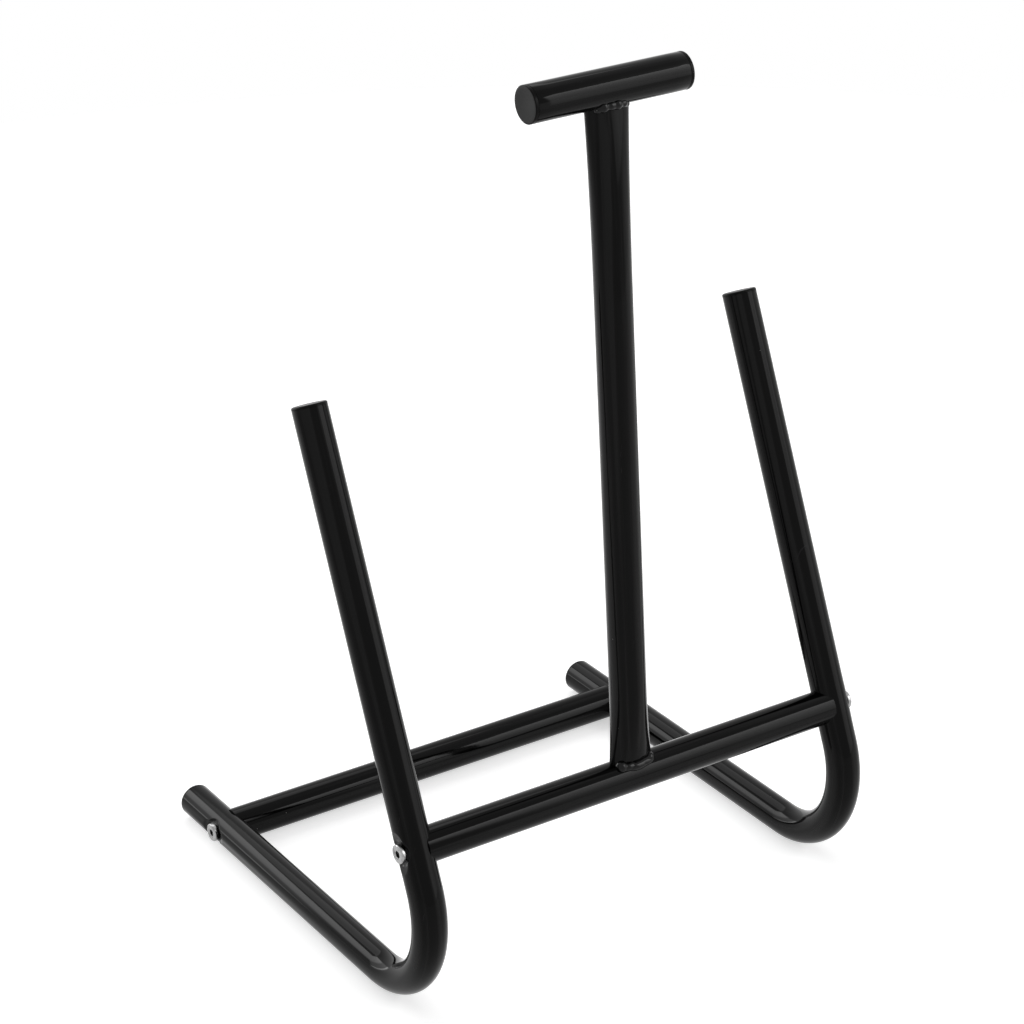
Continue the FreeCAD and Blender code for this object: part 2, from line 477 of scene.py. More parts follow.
class Graph:
    """A node tree with short calls for adding and joining nodes."""

    def __init__(self, tree: bpy.types.NodeTree) -> None:
        """Takes an empty node tree."""
        self.tree = tree

    def add(self, kind: str, **settings: object) -> bpy.types.Node:
        """Adds a node and sets its properties.

        Args:
            kind: The node's type name.
            settings: Property names and values.

        Returns:
            The node.
        """
        node = self.tree.nodes.new(kind)
        for name, value in settings.items():
            setattr(node, name, value)
        return node

    def join(self, source: bpy.types.NodeSocket, target: bpy.types.NodeSocket) -> None:
        """Links two sockets."""
        self.tree.links.new(source, target)

    def feed(self, socket: bpy.types.NodeSocket, value: Optional[SocketValue]) -> None:
        """Links a socket or sets a plain value on it.

        Args:
            socket: The input.
            value: What goes into it. It keeps its own value where this is None.
        """
        if isinstance(value, bpy.types.NodeSocket):
            self.join(value, socket)
        elif value is not None:
            socket.default_value = value

    def math(self, operation: str, first: SocketValue,
             second: Optional[SocketValue] = None) -> bpy.types.NodeSocket:
        """Adds a Math node.

        Args:
            operation: What it does.
            first: Its first socket or number.
            second: Its second one, if it has one.

        Returns:
            Its result.
        """
        node = self.add("ShaderNodeMath", operation=operation)
        for socket, value in zip(node.inputs, (first, second)):
            self.feed(socket, value)
        return node.outputs[0]

    def stretch(self, place: bpy.types.NodeSocket, scale: Stretch,
                turn: Stretch = (0.0, 0.0, 0.0)) -> bpy.types.NodeSocket:
        """Scales and turns places.

        Args:
            place: The places.
            scale: Scale along each axis.
            turn: Turn round each axis.

        Returns:
            The new places.
        """
        node = self.add("ShaderNodeMapping")
        node.inputs["Rotation"].default_value = turn
        node.inputs["Scale"].default_value = scale
        self.join(place, node.inputs["Vector"])
        return node.outputs["Vector"]

    def noise(self, place: bpy.types.NodeSocket, scale: SocketValue,
              detail: float = 2.0) -> bpy.types.NodeSocket:
        """Adds a noise texture.

        Args:
            place: Where it is read.
            scale: How fine it is.
            detail: How many finer octaves it has.

        Returns:
            Its value.
        """
        node = self.add("ShaderNodeTexNoise")
        self.join(place, node.inputs["Vector"])
        self.feed(node.inputs["Scale"], scale)
        node.inputs["Detail"].default_value = detail
        node.inputs["Roughness"].default_value = 0.5
        return node.outputs["Fac"]

    def ramp(self, value: bpy.types.NodeSocket, low: float, high: float, to_low: float = 0.0,
             to_high: float = 1.0) -> bpy.types.NodeSocket:
        """Maps a value from one range to another, clamped and eased.

        Args:
            value: The value.
            low: Start of its range.
            high: End of its range.
            to_low: Result at the start.
            to_high: Result at the end.

        Returns:
            The result.
        """
        node = self.add("ShaderNodeMapRange", interpolation_type="SMOOTHSTEP", clamp=True)
        self.join(value, node.inputs["Value"])
        for name, number in (("From Min", low), ("From Max", high), ("To Min", to_low), ("To Max", to_high)):
            self.feed(node.inputs[name], number)
        return node.outputs["Result"]

    def blend(self, factor: SocketValue, first: SocketValue, second: SocketValue) -> bpy.types.NodeSocket:
        """Mixes two colours.

        Args:
            factor: Share of the second colour.
            first: The first colour.
            second: The second colour.

        Returns:
            The mixed colour.
        """
        node = self.add("ShaderNodeMix", data_type="RGBA")
        # A Mix node has a set of sockets for each kind of data: inputs 6 and 7 are the colours,
        # and output 2 is their mix.
        self.feed(node.inputs[0], factor)
        self.feed(node.inputs[6], first)
        self.feed(node.inputs[7], second)
        return node.outputs[2]


@dataclass(frozen=True)
class Patches:
    """Uneven patches: a noise, the range of it that shows, and the values at that range's ends."""

    scale: float
    detail: float = 2.0
    low: float = 0.3
    high: float = 0.7
    to_low: float = 0.0
    to_high: float = 1.0

    def lay(self, graph: Graph, place: bpy.types.NodeSocket) -> bpy.types.NodeSocket:
        """Adds the patches to a graph and returns their value."""
        noise = graph.noise(place, self.scale, self.detail)
        return graph.ramp(noise, self.low, self.high, self.to_low, self.to_high)


def shader_group(name: str, inputs: dict[str, float], output: str) -> tuple[
        Graph, Mapping[str, bpy.types.NodeSocket], bpy.types.NodeSocket]:
    """Starts a shader node group with a place, float inputs and one float output.

    Args:
        name: Name of the group.
        inputs: Input names and their default values.
        output: Name of the output.

    Returns:
        The group's graph, its inputs by name, and its output.
    """
    tree = bpy.data.node_groups.new(name, "ShaderNodeTree")
    tree.interface.new_socket("Place", in_out="INPUT", socket_type="NodeSocketVector")
    for key, value in inputs.items():
        socket = tree.interface.new_socket(key, in_out="INPUT", socket_type="NodeSocketFloat")
        socket.default_value = value
    tree.interface.new_socket(output, in_out="OUTPUT", socket_type="NodeSocketFloat")
    graph = Graph(tree)
    start = graph.add("NodeGroupInput")
    end = graph.add("NodeGroupOutput")
    return graph, start.outputs, end.inputs[output]


class Effects:
    """Shader node groups that more than one finish uses."""

    scuff_turn: Stretch = (0.5, 0.7, 0.3)
    scuff_stretch: Stretch = (1.0, 14.0, 1.0)
    scuff_detail: float = 3.0
    scuff_cut: tuple[float, float] = (0.66, 0.72)
    scuff_patches: Patches = Patches(22.0, 2.0, 0.5, 0.68)
    line_stretch: Stretch = (1.0, 1.0, 0.012)
    line_cut: tuple[float, float] = (0.42, 0.66)

    def __init__(self) -> None:
        """Builds each group once."""
        self.ripple = self._ripple()
        self.dust = self._dust()
        self.scuffs = self._scuffs()
        self.draw_lines = self._draw_lines()

    @staticmethod
    def _ripple() -> bpy.types.NodeTree:
        """Long and short waves of a sprayed or moulded surface, as a height.

        Returns:
            The group.
        """
        graph, start, height = shader_group("surface_ripple", {"Wave Scale": 120.0, "Fine Scale": 700.0,
                                                               "Fine Share": 0.3}, "Height")
        wave = graph.noise(start["Place"], start["Wave Scale"], 1.0)
        fine = graph.noise(start["Place"], start["Fine Scale"])
        share = graph.math("MULTIPLY", fine, start["Fine Share"])
        graph.join(graph.math("ADD", wave, share), height)
        return graph.tree

    @staticmethod
    def _dust() -> bpy.types.NodeTree:
        """Sparse specks of dust, with their size and how many cells hold one, as a mask.

        Returns:
            The group.
        """
        graph, start, mask = shader_group("dust_specks", {"Cells": 260.0, "Size": 0.07, "Share": 0.05},
                                          "Mask")
        cell = graph.add("ShaderNodeTexVoronoi", feature="F1")
        graph.join(start["Place"], cell.inputs["Vector"])
        graph.join(start["Cells"], cell.inputs["Scale"])
        near = graph.math("LESS_THAN", cell.outputs["Distance"], start["Size"])
        lot = graph.add("ShaderNodeSeparateColor")
        graph.join(cell.outputs["Color"], lot.inputs["Color"])
        chosen = graph.math("LESS_THAN", lot.outputs["Red"], start["Share"])
        graph.join(graph.math("MULTIPLY", near, chosen), mask)
        return graph.tree

    def _scuffs(self) -> bpy.types.NodeTree:
        """Fine rubbed lines in uneven patches, as a mask.

        Returns:
            The group.
        """
        graph, start, mask = shader_group("rubbed_scuffs", {"Scale": 60.0, "Amount": 0.5}, "Mask")
        drawn_out = graph.stretch(start["Place"], self.scuff_stretch, self.scuff_turn)
        lines = graph.ramp(graph.noise(drawn_out, start["Scale"], self.scuff_detail), *self.scuff_cut)
        patches = self.scuff_patches.lay(graph, start["Place"])
        both = graph.math("MULTIPLY", lines, patches)
        graph.join(graph.math("MULTIPLY", both, start["Amount"]), mask)
        return graph.tree

    def _draw_lines(self) -> bpy.types.NodeTree:
        """Soft lines along a tube, as a mask: the relief that drawing leaves, and painted highlight streaks
        in the paint's colour.

        Returns:
            The group.
        """
        graph, start, mask = shader_group("draw_lines", {"Broad Scale": 170.0, "Fine Scale": 620.0,
                                                         "Fine Share": 0.25}, "Mask")
        drawn_out = graph.stretch(start["Place"], self.line_stretch)
        broad = graph.noise(drawn_out, start["Broad Scale"], 1.0)
        fine = graph.math("SUBTRACT", graph.noise(drawn_out, start["Fine Scale"]), 0.5)
        lines = graph.math("ADD", broad, graph.math("MULTIPLY", fine, start["Fine Share"]))
        graph.join(graph.ramp(lines, *self.line_cut), mask)
        return graph.tree


def place_group(graph: Graph, tree: bpy.types.NodeTree, place: bpy.types.NodeSocket,
                **values: float) -> bpy.types.NodeSocket:
    """Puts a node group into a material.

    Args:
        graph: The material's graph.
        tree: The group.
        place: Where it is read.
        values: Values for its inputs, with _ for a space.

    Returns:
        The group's output.
    """
    node = graph.add("ShaderNodeGroup", node_tree=tree)
    graph.join(place, node.inputs["Place"])
    for name, value in values.items():
        node.inputs[name.replace("_", " ").title()].default_value = value
    return node.outputs[0]


# ---------------------------------------------------------------------------------------------
# Finishes
# ---------------------------------------------------------------------------------------------

@dataclass(frozen=True)
class Finish:
    """What every finish has: a name, a shader and object coordinates."""

    name: str = "finish"

    def start(self) -> tuple[bpy.types.Material, Graph, bpy.types.Node, bpy.types.NodeSocket]:
        """Starts the material.

        Returns:
            The material, its graph, its shader and the object coordinates.
        """
        material = bpy.data.materials.new(self.name)
        material.use_nodes = True
        material.node_tree.nodes.clear()
        graph = Graph(material.node_tree)
        output = graph.add("ShaderNodeOutputMaterial")
        shader = graph.add("ShaderNodeBsdfPrincipled")
        graph.join(shader.outputs["BSDF"], output.inputs["Surface"])
        place = graph.add("ShaderNodeTexCoord").outputs["Object"]
        return material, graph, shader, place

    @staticmethod
    def surface(graph: Graph, shader: bpy.types.Node, colour: bpy.types.NodeSocket,
                roughness: bpy.types.NodeSocket, height: bpy.types.NodeSocket, depth: float,
                strength: float = 1.0) -> None:
        """Feeds the shader with a colour, a roughness and a bump.

        Args:
            graph: The material's graph.
            shader: Its shader.
            colour: The base colour.
            roughness: The roughness.
            height: The bump's height, in units of depth.
            depth: Depth of the bump.
            strength: Strength of the bump.
        """
        graph.join(colour, shader.inputs["Base Color"])
        graph.join(roughness, shader.inputs["Roughness"])
        bump = graph.add("ShaderNodeBump")
        bump.inputs["Distance"].default_value = depth
        bump.inputs["Strength"].default_value = strength
        graph.join(height, bump.inputs["Height"])
        graph.join(bump.outputs["Normal"], shader.inputs["Normal"])


@dataclass(frozen=True)
class GlossPaint(Finish):
    """Deep black gloss paint over drawn tube, with a faint ripple, dust, rubbed places and painted highlight
    streaks along the tube.
    """

    name: str = "gloss black paint"
    colour: Colour = (0.0004, 0.0004, 0.0004, 1.0)
    # Painted highlight: colour of the lengthwise streaks that stand in for reflections of the lamps.
    streak_highlight: Colour = (0.0085, 0.0085, 0.0085, 1.0)
    rubbed: Colour = (0.010, 0.010, 0.010, 1.0)
    dust: Colour = (0.28, 0.28, 0.27, 1.0)
    specular_level: float = 0.085
    haze: Patches = Patches(14.0, 3.0, 0.35, 0.7, 0.05, 0.085)
    rubbed_roughness: float = 0.22
    dust_roughness: float = 0.5
    ripple_depth: float = 0.012 * MM
    line_height: float = 1.3

    def build(self, effects: Effects) -> bpy.types.Material:
        """Builds the material.

        Args:
            effects: The shared node groups.

        Returns:
            The material.
        """
        material, graph, shader, place = self.start()
        shader.inputs["Specular IOR Level"].default_value = self.specular_level
        specks = place_group(graph, effects.dust, place, cells=230.0, size=0.055, share=0.035)
        scuffs = place_group(graph, effects.scuffs, place, scale=70.0, amount=0.8)
        ripple = place_group(graph, effects.ripple, place, wave_scale=95.0, fine_scale=420.0,
                             fine_share=0.22)
        run = graph.add("ShaderNodeAttribute", attribute_name=GRAIN).outputs["Vector"]
        lines = place_group(graph, effects.draw_lines, run, broad_scale=170.0, fine_scale=620.0,
                            fine_share=0.25)
        # Painted highlight streaks: the drawn lines lighten the paint's colour, and below they also give its
        # relief.
        drawn = graph.blend(lines, self.colour, self.streak_highlight)
        colour = graph.blend(specks, graph.blend(scuffs, drawn, self.rubbed), self.dust)
        worn = graph.math("MULTIPLY", scuffs, self.rubbed_roughness)
        matte = graph.math("MULTIPLY", specks, self.dust_roughness)
        roughness = graph.math("ADD", graph.math("ADD", self.haze.lay(graph, place), worn), matte)
        height = graph.math("ADD", ripple, graph.math("MULTIPLY", lines, self.line_height))
        self.surface(graph, shader, colour, roughness, height, self.ripple_depth)
        return material


@dataclass(frozen=True)
class MouldedPlastic(Finish):
    """Black moulded plastic with a fine spark-eroded grain."""

    name: str = "moulded black plastic"
    colour: Colour = (0.003, 0.003, 0.003, 1.0)
    worn: Colour = (0.015, 0.015, 0.015, 1.0)
    dust: Colour = (0.2, 0.2, 0.19, 1.0)
    specular_level: float = 0.06
    roughness: Patches = Patches(60.0, 3.0, 0.3, 0.7, 0.26, 0.38)
    grain_depth: float = 0.02 * MM
    grain_strength: float = 0.8

    def build(self, effects: Effects) -> bpy.types.Material:
        """Builds the material.

        Args:
            effects: The shared node groups.

        Returns:
            The material.
        """
        material, graph, shader, place = self.start()
        shader.inputs["Specular IOR Level"].default_value = self.specular_level
        scuffs = place_group(graph, effects.scuffs, place, scale=110.0, amount=1.0)
        specks = place_group(graph, effects.dust, place, cells=300.0, size=0.06, share=0.04)
        grain = place_group(graph, effects.ripple, place, wave_scale=900.0, fine_scale=2600.0,
                            fine_share=0.7)
        colour = graph.blend(specks, graph.blend(scuffs, self.colour, self.worn), self.dust)
        self.surface(graph, shader, colour, self.roughness.lay(graph, place), grain, self.grain_depth,
                     self.grain_strength)
        return material


@dataclass(frozen=True)
class BrightZinc(Finish):
    """Bright zinc plating with a fine grain and a little grime."""

    name: str = "bright zinc plating"
    colour: Colour = (0.34, 0.34, 0.34, 1.0)
    grime: Colour = (0.06, 0.06, 0.06, 1.0)
    dirt: Patches = Patches(420.0, 4.0, 0.5, 0.75, 0.0, 0.55)
    scuff_dirt: float = 0.6
    roughness: Patches = Patches(260.0, 3.0, 0.3, 0.7, 0.2, 0.38)
    grain_depth: float = 0.02 * MM

    def build(self, effects: Effects) -> bpy.types.Material:
        """Builds the material.

        Args:
            effects: The shared node groups.

        Returns:
            The material.
        """
        material, graph, shader, place = self.start()
        shader.inputs["Metallic"].default_value = 1.0
        scuffs = place_group(graph, effects.scuffs, place, scale=240.0, amount=1.0)
        grain = place_group(graph, effects.ripple, place, wave_scale=500.0, fine_scale=2200.0,
                            fine_share=0.5)
        dirt = graph.math("MAXIMUM", self.dirt.lay(graph, place),
                          graph.math("MULTIPLY", scuffs, self.scuff_dirt))
        self.surface(graph, shader, graph.blend(dirt, self.colour, self.grime),
                     self.roughness.lay(graph, place), grain, self.grain_depth)
        return material


@dataclass(frozen=True)
class SocketShade(Finish):
    """Painted shade inside the bolts' sockets: a near-black colour stands in for the shade deep in the
    socket.
    """

    name: str = "painted socket shade"
    # Painted shade: this near-black colour stands in for the socket's depth and self-shadow.
    colour: Colour = (0.004, 0.004, 0.004, 1.0)
    scraped: Colour = (0.05, 0.05, 0.05, 1.0)
    specular_level: float = 0.1
    scrapes: Patches = Patches(900.0, 3.0, 0.5, 0.75)
    roughness: Patches = Patches(500.0, 2.0, 0.3, 0.7, 0.5, 0.7)
    grain_depth: float = 0.03 * MM

    def build(self, effects: Effects) -> bpy.types.Material:
        """Builds the material.

        Args:
            effects: The shared node groups.

        Returns:
            The material.
        """
        material, graph, shader, place = self.start()
        shader.inputs["Specular IOR Level"].default_value = self.specular_level
        grain = place_group(graph, effects.ripple, place, wave_scale=800.0, fine_scale=3000.0,
                            fine_share=0.5)
        colour = graph.blend(self.scrapes.lay(graph, place), self.colour, self.scraped)
        self.surface(graph, shader, colour, self.roughness.lay(graph, place), grain, self.grain_depth)
        return material


@dataclass(frozen=True)
class BareSteel(Finish):
    """Turned steel of the hidden inserts."""

    name: str = "turned steel"
    colour: Colour = (0.42, 0.42, 0.43, 1.0)
    oiled: Colour = (0.2, 0.18, 0.16, 1.0)
    oil_scale: float = 90.0
    oil_detail: float = 4.0
    roughness: Patches = Patches(160.0, 2.0, 0.3, 0.7, 0.28, 0.45)
    ring_scale: float = 900.0
    ring_depth: float = 0.02 * MM

    def build(self) -> bpy.types.Material:
        """Builds the material.

        Returns:
            The material.
        """
        material, graph, shader, place = self.start()
        shader.inputs["Metallic"].default_value = 1.0
        rings = graph.add("ShaderNodeTexWave", wave_type="BANDS", bands_direction="X")
        rings.inputs["Scale"].default_value = self.ring_scale
        graph.join(place, rings.inputs["Vector"])
        oil = graph.noise(place, self.oil_scale, self.oil_detail)
        self.surface(graph, shader, graph.blend(oil, self.colour, self.oiled),
                     self.roughness.lay(graph, place), rings.outputs["Fac"], self.ring_depth)
        return material


class Finishes:
    """All the finishes, built once."""

    def __init__(self) -> None:
        """Builds each material."""
        effects = Effects()
        self.paint = GlossPaint().build(effects)
        self.weld = GlossPaint(name="black paint over weld", specular_level=0.18).build(effects)
        self.plastic = MouldedPlastic().build(effects)
        self.zinc = BrightZinc().build(effects)
        # The socket finish is painted shade for the inside of the bolts' sockets.
        self.socket = SocketShade().build(effects)
        self.steel = BareSteel().build()


# ---------------------------------------------------------------------------------------------
# Side tubes
# ---------------------------------------------------------------------------------------------

@dataclass
class SideTube:
    """A bent tube: floor leg, bend and leaning leg, pressed flat under each bolt."""

    rack: RackFrame
    side: Side
    wall: float = 1.5 * MM
    count: int = 128
    bend_steps: int = 84
    end_ring: float = 1.4 * MM
    flat_length: float = 13.0 * MM
    blend_radius: float = 25.0 * MM
    swell: float = 0.2 * MM
    swell_length: float = 40.0 * MM
    fine_step: float = 0.6 * MM
    ring_share: float = 0.1
    seat_radius: float = 5.4 * MM
    groove_radius: float = 7.6 * MM
    groove_end: float = 10.2 * MM
    groove_depth: float = 1.0 * MM

    def groove(self, distance: float) -> float:
        """Extra depth of the pressed ring that the bolt's head draws round its seat.

        Args:
            distance: Distance from the bolt's axis.

        Returns:
            The depth there.
        """
        if distance < self.groove_radius:
            share = (distance - self.seat_radius) / (self.groove_radius - self.seat_radius)
        else:
            share = (self.groove_end - distance) / (self.groove_end - self.groove_radius)
        share = min(1.0, max(0.0, share))
        return self.groove_depth * share * share * (3 - 2 * share)

    def press_half(self) -> float:
        """Half the length of tube that a press reaches."""
        turn = math.acos(1 - self.rack.press_depth / self.blend_radius)
        return self.flat_length / 2 + self.blend_radius * math.sin(turn)

    def press_floor(self, along: float) -> float:
        """Distance from the tube's axis to the pressed surface.

        Args:
            along: Distance from the bolt, along the tube.

        Returns:
            The distance.
        """
        beyond = min(max(0.0, abs(along) - self.flat_length / 2), self.blend_radius)
        rise = self.blend_radius - math.sqrt(self.blend_radius ** 2 - beyond ** 2)
        return self.rack.side_radius - self.rack.press_depth + rise

    def build(self, finishes: Finishes) -> bpy.types.Object:
        """Shapes and dresses the tube.

        Args:
            finishes: The materials.

        Returns:
            The finished tube.
        """
        rack = self.rack
        x = self.side.value * rack.side_x
        start = Vector((x, rack.floor_end_y, rack.side_radius))
        forwards = Vector((0.0, -1.0, 0.0))
        blank = Blank.ring("bent_tube_" + self.side.label, rack.side_radius, self.count,
                           axes_matrix(start, RIGHT, forwards))
        blank.edit_all()
        crossing = rack.floor_end_y - rack.cross_axis(Row.REAR).y
        half = self.press_half()
        floor_leg = rack.floor_end_y - rack.bend_centre.y
        blank.run(forwards, [0.0, self.end_ring]
                  + spread(crossing - half, crossing + half, self.fine_step) + [floor_leg])
        centre = Vector((x, rack.bend_centre.y, rack.bend_centre.z))
        turn = math.pi / 2 + rack.leg_lean
        bpy.ops.mesh.spin(steps=self.bend_steps, angle=turn, center=centre, axis=RIGHT)
        crossing = (rack.cross_axis(Row.FRONT) - rack.bend_end).length
        half = self.swell_length / 2
        blank.run(rack.up_leg, [0.0] + spread(crossing - half, crossing + half, self.fine_step)
                  + [rack.leg_length - self.end_ring, rack.leg_length])
        blank.close()
        blank.outwards()
        for row in Row:
            self.press(blank, row)
        blank.thicken(self.wall)
        blank.smooth()
        blank.lay_grain(self.grain())
        return blank.finish(finishes.paint, Slot.PAINT, "side_tube_" + self.side.label)

    def press(self, blank: Blank, row: Row) -> None:
        """Swells the leg round a crossing and presses the outer side flat, ring by ring.

        Args:
            blank: The tube.
            row: Which crossing.
        """
        centre = self.rack.crossing(row, self.side)
        along = self.rack.along(row)
        reach = self.swell_length / 2 if row is Row.FRONT else self.press_half()
        mesh = blank.edit()
        rings: dict[int, list[bmesh.types.BMVert]] = {}
        for vert in mesh.verts:
            offset = vert.co - centre
            height = offset.dot(along)
            if abs(height) < reach and (offset - along * height).length < 2 * self.rack.side_radius:
                rings.setdefault(round(height / (self.ring_share * self.fine_step)), []).append(vert)
        for key, verts in rings.items():
            height = key * self.ring_share * self.fine_step
            middle = centre + along * height
            if row is Row.FRONT:
                share = math.cos(math.pi * height / self.swell_length) ** 2
                wider = 1 + self.swell * share / self.rack.side_radius
                blank.select(mesh, verts)
                bpy.ops.transform.resize(value=(wider, wider, wider), center_override=middle)
            floor_x = centre.x + self.side.value * self.press_floor(height)
            flat = [v for v in verts if (v.co.x - floor_x) * self.side.value > 0]
            if flat:
                blank.select(mesh, flat)
                bpy.ops.transform.resize(value=(0.0, 1.0, 1.0), center_override=(floor_x, 0.0, 0.0))
        for vert in (v for verts in rings.values() for v in verts):
            offset = vert.co - centre
            if offset.x * self.side.value > 0:
                vert.co.x -= self.side.value * self.groove(math.hypot(offset.y, offset.z))
        bmesh.update_edit_mesh(blank.object.data)
        blank.close()

    def grain(self) -> Section:
        """Section places of the bent tube, towards its bend's centre and along its run.

        Returns:
            The function that turns a place into a section place.
        """
        rack = self.rack
        middle_x = self.side.value * rack.side_x
        centre, bend_end, up_leg = rack.bend_centre, rack.bend_end, rack.up_leg
        inwards = Vector((0.0, up_leg.z, -up_leg.y))
        reach = 2 * rack.side_radius
        bend_length = rack.bend_radius * (math.pi / 2 + rack.leg_lean)

        def section(place: Vector) -> Vector:
            """Two distances across and one along.

            Args:
                place: A point of the tube.

            Returns:
                Its section place.
            """
            across = place.x - middle_x
            beside = Vector((0.0, place.y, place.z))
            up, inner = (beside - bend_end).dot(up_leg), (beside - bend_end).dot(inwards)
            if up > 0.0 and abs(inner) < reach:
                return Vector((across, inner, bend_length + up))
            if place.y > centre.y:
                return Vector((across, place.z - rack.side_radius, centre.y - place.y))
            spoke = beside - centre
            return Vector((across, rack.bend_radius - spoke.length,
                           rack.bend_radius * math.atan2(-spoke.y, -spoke.z)))
        return section


# ---------------------------------------------------------------------------------------------
# Cross tubes, post and handle
# ---------------------------------------------------------------------------------------------

@dataclass
class CrossTube:
    """A straight tube between the side tubes, coped round them."""

    rack: RackFrame
    row: Row
    wall: float = 1.5 * MM
    count: int = 128
    cope_lip: float = 5.0 * MM
    ring_step: float = 40.0 * MM
    sharp: float = math.radians(50.0)
    tolerance: float = 0.01 * MM

    @property
    def reach(self) -> float:
        """Half the tube's length before it is coped."""
        return self.rack.side_x - self.cope_lip

    def build(self, finishes: Finishes) -> bpy.types.Object:
        """Shapes and dresses the tube.

        Args:
            finishes: The materials.

        Returns:
            The finished tube.
        """
        rack = self.rack
        middle = rack.cross_axis(self.row)
        blank = Blank.ring(self.row.value + "_cross_bar", rack.cross_radius, self.count,
                           axes_matrix(middle - RIGHT * self.reach, UP, RIGHT))
        blank.edit_all()
        inner = self.reach - 2 * rack.side_radius
        blank.run(RIGHT, [-self.reach, -inner] + spread(-inner, inner, self.ring_step)[1:] + [self.reach])
        blank.close()
        blank.outwards()
        self.cope(blank)
        blank.thicken(self.wall)
        blank.smooth(self.sharp)
        blank.lay_grain(straight_grain(middle, RIGHT))
        return blank.finish(finishes.paint, Slot.PAINT, self.row.value + "_cross_tube")

    def cope(self, blank: Blank) -> None:
        """Draws each end vertex back along the tube until it stands on the side tube.

        Args:
            blank: The tube.
        """
        rack = self.rack
        middle = rack.cross_axis(self.row)
        side_axis = rack.along(self.row)
        swell = SideTube.swell if self.row is Row.FRONT else 0.0
        mesh = blank.edit()
        for vert in mesh.verts:
            if abs(abs(vert.co.x) - self.reach) < self.tolerance:
                offset = Vector((0.0, vert.co.y, vert.co.z)) - middle
                height = offset.dot(side_axis)
                across = (offset - side_axis * height).length
                radius = rack.side_radius + swell * math.cos(math.pi * height / SideTube.swell_length) ** 2
                depth = math.sqrt(max(0.0, radius ** 2 - across ** 2))
                vert.co.x = math.copysign(min(self.reach, rack.side_x - depth), vert.co.x)
        bmesh.update_edit_mesh(blank.object.data)
        blank.close()


@dataclass(frozen=True)
class PostEnd:
    """Where the post meets the tube across one of its ends.

    The seat is the height of that tube's axis in the post's own frame. The direction is +1 where the
    post rises from the tube and -1 where it hangs under it.
    """

    node: str
    seat: float
    direction: float
    tube_radius: float


@dataclass
class Post:
    """The upright tube, pressed oval at its foot and under the handle."""

    rack: RackFrame
    radius: float = 13.25 * MM
    end_depth: float = 16.5 * MM
    foot_press: float = 70.0 * MM
    top_press: float = 150.0 * MM
    wall: float = 1.5 * MM
    count: int = 128
    step: float = 2.5 * MM
    long_step: float = 10.0 * MM
    sharp: float = math.radians(50.0)

    @property
    def end_width(self) -> float:
        """Width of the oval ends, left to right."""
        return self.rack.extent("post_tube").x

    @property
    def foot(self) -> PostEnd:
        """The lower end, on the front cross tube."""
        return PostEnd("foot_weld", 0.0, 1.0, self.rack.cross_radius)

    @property
    def top(self) -> PostEnd:
        """The upper end, under the handle."""
        return PostEnd("handle_weld", self.rack.post_length, -1.0, self.rack.handle_radius)

    def section(self, height: float) -> tuple[float, float]:
        """Size of the tube's section.

        Args:
            height: Height along the post.

        Returns:
            Half its width and half its depth there.
        """
        below_top = self.rack.post_length - height
        foot_share = (self.foot_press - height) / (self.foot_press - self.rack.cross_radius)
        top_share = (self.top_press - below_top) / (self.top_press - self.rack.handle_radius)
        share = min(1.0, max(0.0, foot_share, top_share)) ** 2
        width = self.radius + (self.end_width / 2 - self.radius) * share
        depth = self.radius + (self.end_depth / 2 - self.radius) * share
        return width, depth

    def build(self, finishes: Finishes) -> bpy.types.Object:
        """Shapes and dresses the post.

        Args:
            finishes: The materials.

        Returns:
            The finished post.
        """
        length = self.rack.post_length
        blank = Blank.ring("upright_post", 1.0, self.count, Matrix.Identity(4))
        blank.edit_all()
        stops = (spread(0.0, self.foot_press, self.step)
                 + spread(self.foot_press, length - self.top_press, self.long_step)[1:]
                 + spread(length - self.top_press, length, self.step)[1:])
        width, depth = self.section(stops[0])
        bpy.ops.transform.resize(value=(width, depth, 1.0), center_override=(0.0, 0.0, 0.0))
        for here, there in zip(stops, stops[1:]):
            blank.extrude(UP * (there - here))
            old_width, old_depth = self.section(here)
            width, depth = self.section(there)
            bpy.ops.transform.resize(value=(width / old_width, depth / old_depth, 1.0),
                                     center_override=(0.0, 0.0, there))
        blank.close()
        blank.outwards()
        self.cope(blank, self.foot)
        self.cope(blank, self.top)
        blank.thicken(self.wall)
        blank.smooth(self.sharp)
        blank.lay_grain(lambda place: place)
        blank.bake(self.rack.post_place)
        return blank.finish(finishes.paint, Slot.PAINT, "post_tube")

    def cope(self, blank: Blank, end: PostEnd) -> None:
        """Lets one end stand on the tube across it.

        Args:
            blank: The post on local Z.
            end: Which end.
        """
        mesh = blank.edit()
        for vert in mesh.verts:
            root = math.sqrt(max(0.0, end.tube_radius ** 2 - vert.co.y ** 2))
            if (vert.co.z - end.seat) * end.direction < root:
                vert.co.z = end.seat + end.direction * root
        bpy.ops.mesh.select_all(action="SELECT")
        bpy.ops.mesh.remove_doubles(threshold=SAME)
        bmesh.update_edit_mesh(blank.object.data)
        blank.close()


